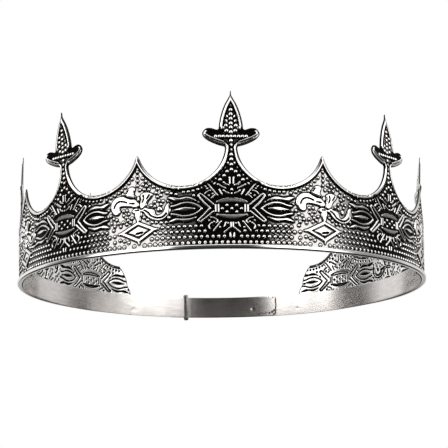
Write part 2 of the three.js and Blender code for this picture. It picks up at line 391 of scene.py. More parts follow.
def draw_scroll():
    """The leafy scroll in the middle of the peak unit."""
    comma = [
        (-7.6, 15.0), (-9.1, 15.4), (-10.2, 17.0), (-10.5, 18.7), (-10.0, 20.4), (-8.7, 21.7),
        (-6.7, 22.2), (-5.1, 22.1), (-3.8, 21.4), (-2.0, 20.7), (-0.4, 20.5), (0.6, 19.7),
        (1.4, 18.7), (1.3, 17.6), (0.0, 17.2), (-2.1, 17.7), (-4.2, 18.0), (-6.2, 18.0),
        (-6.6, 17.3), (-6.5, 16.3), (-6.8, 15.5)]
    leaf_left = [
        (-3.8, 22.1), (-4.3, 22.9), (-3.6, 24.1), (-3.0, 24.9), (-1.8, 25.4), (-0.6, 25.2),
        (-0.1, 24.3), (-0.6, 23.1), (-0.7, 22.4), (-0.1, 21.8), (0.1, 21.2), (-1.5, 21.4)]
    cell = [(1.1, 21.6), (0.5, 20.5), (1.0, 19.3), (1.6, 20.4)]
    leaf_right = [(1.9, 21.9), (3.5, 22.8), (5.2, 22.7), (6.7, 22.0), (6.4, 20.9), (5.2, 19.6),
                  (4.5, 18.4), (4.2, 17.5), (2.9, 16.5), (1.8, 17.1), (1.8, 18.9), (2.2, 20.3)]
    wave = [
        (-1.6, 16.0), (-0.8, 15.0), (0.4, 14.9), (1.7, 15.4), (3.2, 15.1), (4.0, 14.0),
        (5.4, 12.7), (7.2, 11.8), (9.6, 11.4), (12.0, 12.4), (13.4, 14.4), (13.7, 16.3),
        (12.9, 18.0), (11.7, 17.0), (11.2, 15.5), (10.3, 14.2), (8.7, 13.6), (7.8, 14.3),
        (7.4, 15.6), (6.6, 16.2), (5.0, 16.5), (4.0, 17.0), (2.4, 16.3), (0.9, 16.9), (-0.5, 16.9)]
    for shape_line in (comma, leaf_left, cell, leaf_right, wave):
        plate(at_peak(shape_line), 0.50, 0.5)
    stroke(at_peak([(1.0, 14.6), (0.9, 13.6), (1.1, 12.4)]), (1.5, 1.15, 0.85), 0.46)
    creases = [[(-8.9, 17.9), (-8.4, 19.0), (-7.6, 19.8), (-6.4, 20.2), (-5.0, 20.0),
                (-3.6, 19.5)],
               [(-3.7, 23.1), (-3.0, 24.2)], [(3.2, 21.7), (3.4, 20.5), (2.9, 19.1)],
               [(5.6, 21.6), (4.7, 20.2)], [(-2.2, 19.0), (-0.5, 18.8)],
               [(0.0, 16.0), (1.4, 16.1)],
               [(3.6, 15.9), (5.2, 14.8), (6.3, 13.5), (8.4, 12.6), (10.6, 12.7), (12.2, 14.0)]]
    for line in creases:
        stroke(at_peak(line), 0.27, cut=True)
    for s, z in [(5.9, 17.6), (7.4, 18.8), (9.1, 19.2), (10.7, 18.9), (7.5, 17.1), (9.9, 17.7),
                 (8.6, 20.7)]:
        bead(PEAK_UNIT + s, z, 0.6)
    bead(PEAK_UNIT + 9.3, 15.9, 1.0, 0.5)


def draw_rhombus():
    """A framed panel below the scroll, with a short tail at each corner."""
    frame_line = [(-5.7, 7.7), (1.0, 11.1), (7.3, 8.3), (1.2, 4.4), (-5.7, 7.7)]
    stroke(at_peak(frame_line), 0.72, 0.46, smooth=False)
    for tail in ([(-7.4, 7.6), (-5.7, 7.7)], [(8.9, 8.4), (7.3, 8.3)], [(1.2, 3.1), (1.2, 4.4)],
                 [(0.9, 12.2), (1.0, 11.1)]):
        stroke(at_peak(tail), (0.3, 0.72), 0.46)
    plate(at_peak([(-3.4, 7.8), (1.0, 10.0), (5.3, 8.2), (1.2, 5.9)]), 0.26, 1.0, smooth=False)
    stroke(at_peak([(0.3, 7.1), (2.6, 7.5)]), 0.42, 0.3, cut=True)


PEAK_UNIT = 2 * RUN - 0.75  # the pattern under a peak sits a little off its middle
PEAK_BEADS = [
    (0.75, 31.0), (0.75, 29.3), (0.75, 27.5), (0.75, 25.7), (-1.4, 28.5), (-2.8, 27.1),
    (-4.3, 25.6), (-5.8, 24.5), (-7.1, 23.7), (-8.7, 22.9), (-10.5, 22.3), (-12.5, 21.7),
    (2.8, 28.4), (4.1, 27.1), (5.6, 25.8), (7.0, 24.8), (8.6, 23.8), (10.4, 22.8), (12.2, 22.0),
    (13.8, 21.6), (15.6, 21.2), (2.8, 25.9), (4.3, 25.3), (1.6, 23.9), (3.4, 24.0), (5.2, 23.8),
    (8.0, 22.3), (-11.7, 17.4), (-13.3, 14.9), (-11.9, 13.8), (-10.6, 15.1), (-10.4, 12.2),
    (-9.4, 13.9), (-8.1, 13.3), (-7.4, 11.9), (-6.4, 10.6), (-8.9, 10.9), (-9.5, 9.4),
    (-5.3, 12.1), (-5.0, 14.7), (-5.2, 16.4), (-3.7, 16.5), (-4.0, 13.8), (-2.9, 15.1),
    (-3.2, 12.7), (-1.6, 13.3), (-2.2, 11.8), (-3.8, 11.2), (3.3, 13.2), (4.6, 12.2), (6.3, 11.1),
    (8.0, 11.0), (-9.0, 7.0), (-9.0, 4.7), (-6.7, 5.3), (-4.9, 4.8), (-3.1, 4.1)]
CROSS_BEADS = [
    (0, 55.1), (0, 53.3), (0, 51.6), (0, 49.8), (0, 48.0), (0, 46.4), (1.65, 50.7), (1.85, 48.9),
    (1.85, 47.1), (1.6, 45.1), (2.95, 46.2), (0, 44.6), (0, 41.2), (0, 39.4), (0, 37.6), (0, 35.8),
    (0, 34.0)]
CROSSBAR_Z = 42.9
SPANDREL_BEADS = [(1.5, 32.6), (0, 32.0), (2.6, 31.0), (0, 30.1), (3.7, 29.6), (1.6, 29.3),
                  (4.8, 28.1), (2.7, 27.7), (6.1, 26.7), (4.2, 26.2), (7.6, 25.7)]

draw_barrel()
draw_chevrons()
draw_eyes()
draw_fleur()
draw_root()
cross_map = relief.copy()  # the cross unit's bars and plates alone
draw_scroll()
draw_rhombus()
beads(CROSS_BEADS, 0.8, 0.5)
beads([(1.4 * i, CROSSBAR_Z) for i in range(5)], 0.72, 0.5)
beads(SPANDREL_BEADS, 0.7, 0.44)
both(stroke, [(1.35, 37.9), (1.7, 39.3), (2.6, 40.6), (4.3, 41.3), (6.6, 42.2), (8.6, 43.2),
              (9.5, 44.1), (9.1, 45.0)], (0.3, 0.36, 0.4, 0.4, 0.4, 0.4, 0.4, 0.3), 0.46)

placed_beads = [(s * k, z) for s, z in SPANDREL_BEADS + [(0, 34.0)] for k in (-1, 1)]
motif_map = relief.copy()  # everything that the small beads keep clear of
for s, z in PEAK_BEADS:
    bead(PEAK_UNIT + s, z, 0.62)
    placed_beads.append((PEAK_UNIT + s, z))

BARE = 0.05  # relief lower than this is open ground
BEAD_GAP = 1.62  # between the middles of two small beads
BEAD_RADIUS = 0.64
BEAD_PITCH = 2.02  # along a row
EDGE_PITCH = 1.9  # along the scallops


def room_for(s, z, motif_gap):
    """Whether a small bead has open ground and no other bead near it."""
    s = (s + RUN) % PERIOD - RUN
    c = int(round((s + RUN) / STEP))
    r = int(round((z - FIRST_Z) / ROW))
    reach = int(math.ceil(motif_gap / ROW))
    columns = np.arange(c - reach, c + reach + 1) % PERIOD_COLUMNS
    rows = np.arange(max(r - reach, 0), min(r + reach + 1, ROWS))
    gap = np.hypot(*np.meshgrid(np.arange(-reach, reach + 1) * STEP, (rows - r) * ROW,
                                indexing="ij"))
    if (motif_map[np.ix_(columns, rows)][gap < motif_gap] > BARE).any():
        return False
    near = np.array(placed_beads)
    ds = (near[:, 0] - s + PERIOD / 2) % PERIOD - PERIOD / 2
    return not (np.hypot(ds, near[:, 1] - z) < BEAD_GAP).any()


def fill(spots, motif_gap=0.75):
    """Small beads at those of the places that have room for one."""
    for s, z in spots:
        if z > FIRST_Z + 1 and room_for(s, z, motif_gap):
            placed_beads.append(((s + RUN) % PERIOD - RUN, z))
            bead(placed_beads[-1][0], z, BEAD_RADIUS, 0.44)


def along_edge(inset, pitch):
    """Places at one distance inside the scallops, from the middle of a trough outwards."""
    spots = []
    for radius, side, top in ((NECK_RADIUS, -1, 33.5), (PEAK_RADIUS, 1, 36)):
        reach = radius + inset
        turn = 0.0 if side < 0 else pitch / reach
        while turn < math.pi / 2:
            z = TROUGH + radius - reach * math.cos(turn)
            s = RUN + side * reach * math.sin(turn)
            if z > top or s < 0.8 or s > 2 * RUN - 0.7:
                break
            spots.append((s, z))
            spots.append((-s if side < 0 else 4 * RUN - s, z))
            turn += pitch / reach
    return spots


fill(along_edge(2.4, 1.8))
for index, z in enumerate((2.55, 4.7, 6.75, 8.75)):
    count = int(PERIOD / BEAD_PITCH)
    start = 2.6 if index % 2 == 0 else 3.4
    fill([(start + i * PERIOD / count, z) for i in range(count)], 0.7)
for inset in (4.3, 6.2, 8.1):
    fill(along_edge(inset, EDGE_PITCH))
for index in range(9):
    z = 10.7 + 1.75 * index
    fill([(index % 2 + i * BEAD_PITCH, z) for i in range(-9, 27)])

# ---- rim along the outline
RELIEF_DEPTH = 1.3  # how much deeper the whole pattern is struck
RIM_HEIGHT = 0.56
RIM_WIDTH = 1.25
NECK_RIM_WIDTH = 0.8
RIM_FALL = 0.34  # width of the slope from the rim down to the ground
HEAD_MARGIN = 0.35  # on the crosses the bright rim stands in from the edge
LOBE_BEVEL = 1.1  # the lobes have a bevel along their foot in place of the rim
LOBE_BEVEL_HEIGHT = 0.42

relief -= ground_cut * (relief > 0.2)
relief *= RELIEF_DEPTH
across_unit = np.abs(lattice_s)
on_head = unit((lattice_z - 27) / 8) * (across_unit < RUN)
on_neck = unit((lattice_z - 31) / 5) * (lattice_s < RUN)
rim_depth = edge_depth - HEAD_MARGIN * on_head
rim_width = RIM_WIDTH - (RIM_WIDTH - NECK_RIM_WIDTH) * on_neck
climb = unit(rim_depth / (0.8 * rim_width))
rim = RIM_HEIGHT * climb ** 0.8 * eased((rim_width + 0.3 - rim_depth) / RIM_FALL)
lobe_zone = (lattice_z > 38.9) & (lattice_z < 46.6) & (across_unit > 2.6) & (across_unit < 12)
lobe_low = lattice_z < 41.1 + (across_unit - 3) * 0.5
bevel = LOBE_BEVEL_HEIGHT * unit(edge_depth / LOBE_BEVEL)
rim = np.where(lobe_zone, np.where(lobe_low & (edge_depth < LOBE_BEVEL), bevel, 0.0), rim)
relief = np.maximum(relief, rim)

# ---- patina and painted shade: 1 where the recesses are quite dark, and 0 on bare silver; the outline, the ground round the crosses, the lobes and the barrel plates are darkened too, as painted dark reflection
CROSS_PAINTED_SHADE = 0.42  # painted dark reflection on the ground round the crosses
# painted dark reflection on the two plates of the barrel
BARREL_PAINTED_SHADE = 0.26
# painted dark reflection on the flat of the cross lobes
LOBE_PAINTED_SHADE = 0.45
LINE_HALF = 0.3  # a dark line runs along the foot of the rim


def blurred(field, passes):
    """The lattice field spread to its neighbours, once for each pass."""
    for _ in range(passes):
        side = (np.roll(field, 1, 0) + np.roll(field, -1, 0)) / 2
        up = np.pad(field, ((0, 0), (1, 1)), mode="edge")
        field = 0.4 * field + 0.3 * side + 0.3 * (up[:, 2:] + up[:, :-2]) / 2
    return field


def hollow(field, passes, full):
    """How far the field lies under its surroundings, from 0 to 1 at the full depth."""
    return unit((blurred(field, passes) - field) / full)


near_peak = unit((15 - np.abs(lattice_s - 2 * RUN)) / 6)
# where the painted dark reflection round the crosses goes
near_cross = unit((19.5 - across_unit) / 7) * (lattice_z < 40)
wide_ring = hollow(relief, 9, 0.11)
crease = wide_ring + (hollow(relief, 5, 0.12) - wide_ring) * near_peak
rim_foot = unit(1.6 - np.abs(rim_depth - rim_width - 0.5) / LINE_HALF)
# width of a painted shade line along the edge of the sheet, wider on the heads of the crosses
edge_line = 0.06 + 0.4 * on_head
# the hollows, the foot of the rim and the cut creases get patina; the outline, the ground round
# the crosses, the lobes and the barrel plates get painted dark reflection
for layer in (hollow(cross_map, 18, 0.07),
              np.where(lobe_zone, 0.0, rim_foot),
              unit(ground_cut / 0.25) * (relief > 0.02),
              unit(1.4 - 1.4 * edge_depth / edge_line),
              CROSS_PAINTED_SHADE * near_cross * unit(1 - relief / 0.3),
              np.where(lobe_zone & (relief < 0.12), LOBE_PAINTED_SHADE, 0.0),
              BARREL_PAINTED_SHADE * barrel_bars):
    crease = np.maximum(crease, layer)
inside_crease = hollow(-relief, 9, 0.10)


# ======== meshes
def make_object(name, points, faces, uv, layers, slot_name, node):
    """A smooth mesh from arrays: points in mm in the row frame, faces as rows of four
    corners where a triangle repeats its last corner."""
    mesh = bpy.data.meshes.new(name)
    faces = np.asarray(faces, np.int64)
    triangle = faces[:, 2] == faces[:, 3]
    counts = np.where(triangle, 3, 4)
    starts = np.concatenate([[0], np.cumsum(counts)[:-1]])
    keep = np.ones(faces.shape, bool)
    keep[triangle, 3] = False
    loops = faces[keep]
    mesh.vertices.add(len(points))
    mesh.vertices.foreach_set("co", (np.asarray(points) * MM).astype(np.float32).ravel())
    mesh.loops.add(len(loops))
    mesh.loops.foreach_set("vertex_index", loops.astype(np.int32))
    mesh.polygons.add(len(faces))
    mesh.polygons.foreach_set("loop_start", starts.astype(np.int32))
    mesh.polygons.foreach_set("use_smooth", np.ones(len(faces), bool))
    mesh.update(calc_edges=True)
    mesh.validate()
    layer = mesh.uv_layers.new(name="UVMap")
    layer.data.foreach_set("uv", np.asarray(uv, np.float32)[loops].ravel())
    for key, values in layers.items():
        mesh.attributes.new(key, "FLOAT", "POINT").data.foreach_set(
            "value", np.asarray(values, np.float32))
    mesh.materials.append(MATERIALS[slot_name])
    obj = bpy.data.objects.new(name, mesh)
    bpy.context.scene.collection.objects.link(obj)
    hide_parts(node)
    return obj


def on_ring(s, z, radius):
    """Points in the row frame at a place and a radius."""
    angle = s / RING
    angle = angle + SPREAD * np.sin(2 * angle) * (np.abs(angle) < math.pi / 2)
    return np.stack([radius * np.sin(angle), CENTRE_Y - radius * np.cos(angle), BASE_Z + z], -1)


UV_SCALE = 0.01  # one UV unit is 100 mm
END_LINE_WIDTH = 0.35  # dark line along the cut ends
SIDE_PAINTED_SHADE = 0.3  # painted dark reflection: the sides are darker between the relief than the front
SIDE_FROM = math.radians(52)
SIDE_FADE = math.radians(14)
INNER_TONE = 0.3  # the inner face is worn bright between the dark hollows
LEAN_FROM = 24.0  # the crosses have been bent a little by hand above this height
LEAN_ANGLES = (-135, -90, -45, 0, 45, 90, 135)
LEAN_AT_TIP = (0.0, -0.7, 1.8, 0.0, -1.0, 2.0, 0.0)  # mm
HEAD_TWIST = (0, -6, -4, 0, 2, 6, 0)  # degrees; the heads are flat and turned a little


def lean_out(s, z):
    """How far the sheet stands out beyond its even flare."""
    at_tip = np.interp(s / RING, np.radians(LEAN_ANGLES), LEAN_AT_TIP)
    leaning = at_tip * (np.clip(z - LEAN_FROM, 0, None) / (TIP_Z - LEAN_FROM)) ** 1.5
    across = (s + PERIOD / 2) % PERIOD - PERIOD / 2
    twist = np.tan(np.radians(np.interp(s / RING, np.radians(LEAN_ANGLES), HEAD_TWIST)))
    head = unit((z - 36) / 4) * (np.abs(across) < 12)
    return leaning + head * (across ** 2 / (2 * RING) + across * twist)


# the cut end of the sheet, as angle and height
END_PLACES = [(146.3, 30.0), (146.4, 24.4), (147.4, 22.4), (148.6, 19.0), (149.2, 16.2),
              (149.3, 14.6), (150.2, 12.1), (150.5, 9.9), (150.6, 5.0), (150.6, -2.0)]
END_LINE = smooth_line([(RING * math.radians(angle), z) for angle, z in END_PLACES])
END_LINE = resample(END_LINE, OUTLINE_PITCH)
NEAR_END = RING * math.radians(144)


def end_depth(points):
    """How far points lie from the cut end, and the nearest place on it."""
    gap, foot_place = nearest(points, END_LINE)
    limit = np.interp(-points[:, 1], -END_LINE[:, 1], END_LINE[:, 0])
    return np.where(points[:, 0] < limit, gap, -gap), foot_place


def cell_faces(valid):
    """Faces of the lattice cells whose corners are valid; three corners make a triangle."""
    index = np.arange(valid.size).reshape(valid.shape)
    corners = [(slice(None, -1), slice(None, -1)), (slice(1, None), slice(None, -1)),
               (slice(1, None), slice(1, None)), (slice(None, -1), slice(1, None))]
    at = [index[corner] for corner in corners]
    ok = [valid[corner] for corner in corners]
    faces = [np.stack(at, -1)[ok[0] & ok[1] & ok[2] & ok[3]]]
    for out in range(4):
        i, j, k = (n for n in range(4) if n != out)
        triangle = np.stack([at[i], at[j], at[k], at[k]], -1)
        faces.append(triangle[~ok[out] & ok[i] & ok[j] & ok[k]])
    return np.vstack(faces)


def border_edges(faces, count):
    """Starts and stops of the edges that belong to one face only."""
    start = faces.T.ravel()
    stop = np.roll(faces, -1, 1).T.ravel()
    real = start != stop
    start, stop = start[real], stop[real]
    key = np.minimum(start, stop) * count + np.maximum(start, stop)
    inverse, times = np.unique(key, return_inverse=True, return_counts=True)[1:]
    border = times[inverse] == 1
    return start[border], stop[border]


def sheet_piece(first, last):
    """Outer and inner face of the sheet between two columns, counted from the front."""
    columns = np.arange(first, last + 1)
    local = (columns + UNIT_COLUMNS) % PERIOD_COLUMNS
    s = place_s[local] + ((columns + UNIT_COLUMNS - local) * STEP)[:, None]
    z = place_z[local]
    depth_here = edge_depth[local]
    if max(abs(first), abs(last)) * STEP > NEAR_END:
        p = np.stack([np.abs(s).ravel(), z.ravel()], 1)
        far = p[:, 0] > NEAR_END
        p[far], gap = snapped(p[far], *end_depth(p[far]))
        merged = depth_here.ravel()
        was = merged[far]
        merged[far] = np.where(was < 0, was, np.minimum(was, gap))
        depth_here = merged.reshape(s.shape)
        s = (1 if first >= 0 else -1) * p[:, 0].reshape(s.shape)
        z = p[:, 1].reshape(s.shape)
    height = np.where(depth_here <= 0, 0.0, relief[local])
    faces = cell_faces(depth_here >= 0)
    used = np.unique(faces)
    remap = np.full(s.size, -1)
    remap[used] = np.arange(len(used))
    faces = remap[faces]
    end_line = unit(1.4 - depth_here / END_LINE_WIDTH) * (np.abs(s) > NEAR_END)
    aside = unit((np.abs(s) / RING - SIDE_FROM) / SIDE_FADE)
    dark = np.maximum(crease[local], end_line)
    # painted dark reflection on the low ground of the sides
    dark = np.maximum(dark, SIDE_PAINTED_SHADE * aside * unit(1 - height / 0.35))
    inside_dark = np.maximum(inside_crease[local], end_line)
    s, z, height, dark, inside_dark = (v.ravel()[used] for v in (s, z, height, dark, inside_dark))
    base = GROUND + FLARE * z + lean_out(s, z)
    outer = on_ring(s, z, base + height)
    inner = on_ring(s, z, base - SHEET + 0.9 * height)
    count = len(used)
    start, stop = border_edges(faces, count)
    # the walls leave out the seams to the next pieces and the foot inside the hem
    open_edge = (z[start] < FIRST_Z + 1e-6) & (z[stop] < FIRST_Z + 1e-6)
    for seam in (first * STEP, last * STEP):
        open_edge |= (np.abs(s[start] - seam) < 1e-6) & (np.abs(s[stop] - seam) < 1e-6)
    start, stop = start[~open_edge], stop[~open_edge]
    wall = np.stack([stop, start, start + count, stop + count], -1)
    flipped = faces[:, ::-1] + count
    triangle = flipped[:, 0] == flipped[:, 1]
    flipped[triangle] = flipped[triangle][:, [1, 2, 3, 3]]
    uv = np.stack([s, z], 1) * UV_SCALE
    layers = {"height": np.concatenate([height, np.full(count, INNER_TONE)]),
              "crease": np.concatenate([dark, inside_dark])}
    return (np.vstack([outer, inner]), np.vstack([faces, flipped, wall]),
            np.vstack([uv, uv + (0.0, 0.9)]), layers)


# ======== materials
def plug(tree, node, inputs):
    """Sets or links the inputs of a node; each value may be a constant or a socket."""
    for key, value in inputs.items():
        if isinstance(value, bpy.types.NodeSocket):
            tree.links.new(value, node.inputs[key])
        else:
            node.inputs[key].default_value = value


def add(tree, kind, inputs=None, **values):
    """A new node with these inputs and properties."""
    node = tree.nodes.new(kind)
    for key, value in values.items():
        setattr(node, key, value)
    plug(tree, node, inputs or {})
    return node


def node_material(name, metallic):
    """A new material with its node tree and its shader."""
    material = bpy.data.materials.new(name)
    material.use_nodes = True
    tree = material.node_tree
    shader = tree.nodes["Principled BSDF"]
    plug(tree, shader, {"Metallic": metallic})
    return material, tree, shader


def ramp(tree, source, stops):
    """A colour ramp with stops as (position, colour)."""
    node = add(tree, "ShaderNodeValToRGB", {"Fac": source})
    elements = node.color_ramp.elements
    while len(elements) < len(stops):
        elements.new(0.5)
    for element, (position, colour) in zip(elements, stops):
        element.position = position
        element.color = (*colour, 1)
    return node.outputs["Color"]


def grey(value):
    return (value, value, value)


def noise(tree, vector, scale, detail):
    return add(tree, "ShaderNodeTexNoise", {"Vector": vector, "Scale": scale, "Detail": detail,
                                            "Roughness": 0.55}).outputs["Fac"]


def stretched(tree, vector, scale):
    return add(tree, "ShaderNodeMapping", {"Vector": vector, "Scale": scale}).outputs["Vector"]


def mix(tree, factor, a, b, blend="MIX"):
    """Two colours mixed; each may be a colour or a socket."""
    node = add(tree, "ShaderNodeMix", data_type="RGBA", blend_type=blend)
    a, b = ((*v, 1) if isinstance(v, tuple) else v for v in (a, b))
    numbers = {socket.identifier: i for i, socket in enumerate(node.inputs)}
    plug(tree, node, {numbers["Factor_Float"]: factor, numbers["A_Color"]: a,
                      numbers["B_Color"]: b})
    return [o for o in node.outputs if o.identifier == "Result_Color"][0]


def math_node(tree, operation, *values):
    return add(tree, "ShaderNodeMath", dict(enumerate(values)), operation=operation).outputs[0]


def bump(tree, height, strength, distance):
    return add(tree, "ShaderNodeBump", {"Height": height, "Strength": strength,
                                        "Distance": distance}).outputs["Normal"]


def attribute(tree, name):
    return add(tree, "ShaderNodeAttribute", attribute_name=name).outputs["Fac"]


def uv_map(tree):
    return add(tree, "ShaderNodeUVMap", uv_map="UVMap").outputs["UV"]


def antique_silver():
    """Bright plate on the relief, duller ground, near-black patina in the recesses, and painted
    dark reflection where the crease attribute says so.
    """
    material, tree, shader = node_material("antique_silver", 1.0)
    uv = uv_map(tree)
    cloud = noise(tree, uv, 60, 4)
    fine = noise(tree, uv, 900, 2)
    tone = ramp(tree, attribute(tree, "height"), [
        (0.0, (0.42, 0.41, 0.40)), (0.08, (0.66, 0.65, 0.64)), (0.25, (0.95, 0.94, 0.925))])
    tarnish = ramp(tree, cloud, [(0.3, (0.90, 0.885, 0.86)), (0.7, (1.0, 1.0, 1.0))])
    tone = mix(tree, 1.0, tone, tarnish, "MULTIPLY")
    # the crease attribute holds patina and painted dark reflection
    dark = ramp(tree, attribute(tree, "crease"), [(0.06, grey(0.0)), (0.42, grey(1.0))])
    rough = ramp(tree, fine, [(0.3, grey(0.05)), (0.75, grey(0.11))])
    plug(tree, shader, {"Base Color": mix(tree, dark, tone, (0.005, 0.0045, 0.004)),
                        "Roughness": mix(tree, dark, rough, grey(0.6)),
                        "Normal": bump(tree, fine, 0.05, 0.00005)})
    return material


def satin_nickel():
    """Fine rolling lines along the strip, small specks, dark stains and a painted dark reflection
    on the lapped end of the left strip.
    """
    material, tree, shader = node_material("satin_nickel", 1.0)
    uv = uv_map(tree)
    lines = noise(tree, stretched(tree, uv, (12, 900, 1)), 3.0, 4)
    cloud = noise(tree, stretched(tree, uv, (8, 30, 1)), 2.0, 4)
    specks = noise(tree, uv, 260, 2)
    tone = ramp(tree, cloud, [(0.3, (0.70, 0.665, 0.64)), (0.7, (0.83, 0.79, 0.765))])
    spot = ramp(tree, specks, [(0.27, grey(0.55)), (0.33, grey(1.0))])
    tone = mix(tree, 1.0, tone, spot, "MULTIPLY")
    # the attribute read here holds real stains and the painted dark reflection on the lapped end
    # of the left strip
    plug(tree, shader, {"Base Color": mix(tree, attribute(tree, "stain_and_shade"), tone, grey(0.003)),
                        "Roughness": ramp(tree, lines, [(0.3, grey(0.17)), (0.7, grey(0.25))]),
                        "Normal": bump(tree, lines, 0.02, 0.00003)})
    return material


def keeper_nickel():
    """A darker plate than the strips."""
    material, tree, shader = node_material("keeper_nickel", 1.0)
    cloud = noise(tree, uv_map(tree), 200, 4)
    tone = ramp(tree, cloud, [(0.3, (0.17, 0.16, 0.155)), (0.7, (0.34, 0.33, 0.32))])
    plug(tree, shader, {"Base Color": tone,
                        "Roughness": ramp(tree, cloud, [(0.3, grey(0.16)), (0.7, grey(0.32))]),
                        "Normal": bump(tree, cloud, 0.15, 0.00006)})
    return material


MATERIALS = {"antique_silver": antique_silver(), "satin_nickel": satin_nickel(),
             "keeper_nickel": keeper_nickel()}


# ======== sheet pieces
def bend_with_arm(obj):
    """Bakes the piece's transform into its mesh."""
    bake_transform(obj)


SIDES = ((1, "right"), (-1, "left"))
END_COLUMN = int(math.ceil(RING * math.radians(150.8) / STEP))
PIECES_A_SIDE = 5
cuts = [round(END_COLUMN * i / PIECES_A_SIDE) for i in range(PIECES_A_SIDE + 1)]
for side, word in SIDES:
    for number, (near_cut, far_cut) in enumerate(zip(cuts[:-1], cuts[1:]), 1):
        span = (near_cut, far_cut) if side > 0 else (-far_cut, -near_cut)
        obj = make_object(f"sheet_{word}_{number}", *sheet_piece(*span),
                          "antique_silver", "ornate_sheet")
        bend_with_arm(obj)


# ======== hem roll
def section_sweep(places, sections):
    """A closed skin over rings of points. sections is (places, ring, 2) as (radius, z)."""
    count, ring = sections.shape[:2]
    s = np.repeat(np.asarray(places)[:, None], ring, 1)
    points = on_ring(s.ravel(), sections[..., 1].ravel(), sections[..., 0].ravel())
    index = np.arange(count * ring).reshape(count, ring)
    following = np.roll(index, -1, 1)
    faces = [np.stack([index[:-1], index[1:], following[1:], following[:-1]], -1).reshape(-1, 4)]
    middles = []
    for row, a, b in ((0, index[0], following[0]), (-1, following[-1], index[-1])):
        middle = np.full(ring, len(points) + len(middles))
        middles.append(points[index[row]].mean(0))
        faces.append(np.stack([a, b, middle, middle], -1))
    around_uv = np.cumsum(np.hypot(*np.diff(sections, axis=1, prepend=sections[:, :1]).T).T, 1)
    uv = np.stack([s.ravel(), around_uv.ravel()], 1) * UV_SCALE
    return np.vstack([points, middles]), np.vstack(faces), np.vstack([uv, np.zeros((2, 2))])


HEM_CENTRE = 89.25
HEM_HALF = 1.0
HEM_TOP = 1.6
HEM_END = RING * math.radians(150.5)
HEM_PLACES = 300
turn = np.linspace(0, 2 * math.pi, 20, endpoint=False)
sideways = np.sign(np.cos(turn)) * np.abs(np.cos(turn)) ** 0.45
upright = np.sign(np.sin(turn)) * np.abs(np.sin(turn)) ** 0.7
hem_ring = np.stack([HEM_CENTRE + HEM_HALF * sideways, HEM_TOP / 2 * (1 + upright)], 1)
for side, word in SIDES:
    places = np.linspace(0, side * HEM_END, HEM_PLACES)[::side]
    sections = np.repeat(hem_ring[None], HEM_PLACES, 0)
    sections[..., 0] += (0.03 * np.sin(places / 3.1) * np.sin(places / 11.0))[:, None]
    points, faces, uv = section_sweep(places, sections)
    layers = {"height": np.full(len(points), 0.4), "crease": np.zeros(len(points))}
    obj = make_object(f"hem_{word}", points, faces[:, ::-1], uv, layers,
                      "antique_silver", "ornate_sheet")
    bend_with_arm(obj)

# ======== strips
STRIP_HIGH = 10.4
STRIP_THICK = 0.6
STRIP_ROWS = 22
OUTER_LAYER = 87.9  # outer radius of the outer strip
LAYER_STEP = 1.1
CORNER = 0.26
END_ROUND = 1.2  # the upper corner at the end of a strip
STRIP_SAG = 0.8  # the strips hang this much lower at the back
SAG_FROM = 95  # in degrees, like all places along a strip
SAG_RUN = 60
ROOT_FROM = 66.0
STRIP_FROM = 91.0
KEEPER_ANGLE = 170
OVERLAP_PAINTED_SHADE = 0.5  # painted dark reflection on the lapped end of the left strip
PER_DEGREE = RING * math.radians(1)


def quarter(radius, z, corner, degrees):
    """Part of a round corner about a middle, as (radius, z)."""
    a = np.radians(degrees)
    return np.stack([radius + corner * np.cos(a), z + corner * np.sin(a)], 1)


def strip_section(outer_radius, low, high):
    """Rounded upright section: up the outer face, over, down the inner face."""
    inner_radius = outer_radius - STRIP_THICK
    arc = np.linspace(0, 90, 5)
    up = np.linspace(low + CORNER, high - CORNER, STRIP_ROWS)
    outer, inner = outer_radius - CORNER, inner_radius + CORNER
    return np.vstack([np.stack([np.full(STRIP_ROWS, outer_radius), up], 1),
                      quarter(outer, high - CORNER, CORNER, arc[1:]),
                      quarter(inner, high - CORNER, CORNER, 90 + arc[:-1]),
                      np.stack([np.full(STRIP_ROWS, inner_radius), up[::-1]], 1),
                      quarter(inner, low + CORNER, CORNER, 180 + arc[1:]),
                      quarter(outer, low + CORNER, CORNER, 270 + arc[1:-1])])


def strip_object(name, side, angles, sections, stain_and_shade, node):
    """A piece swept along a strip; the dark marks, real stains and painted dark reflection, have a
    value for each point of the sections.
    """
    points, faces, uv = section_sweep(side * angles * PER_DEGREE, sections)
    if side > 0:
        faces = faces[:, ::-1]
    stain_and_shade = np.concatenate([stain_and_shade.ravel(), np.zeros(len(points) - stain_and_shade.size)])
    return make_object(name, points, faces, uv, {"stain_and_shade": stain_and_shade}, "satin_nickel", node)


def strip_root(name, side, node):
    """The front end of a strip, which lies inside the bending part of the sheet."""
    angles = np.linspace(ROOT_FROM, STRIP_FROM - 0.02, 30)
    sections = np.repeat(strip_section(OUTER_LAYER, 0.0, STRIP_HIGH)[None], len(angles), 0)
    stain_and_shade = np.zeros(sections.shape[:2])
    bend_with_arm(strip_object(name, side, angles, sections, stain_and_shade, node))


def rounding(left, radius):
    """How much a round corner takes off at a distance from the end."""
    return radius * (1 - math.sqrt(max(0.0, 1 - (1 - min(left / radius, 1)) ** 2)))


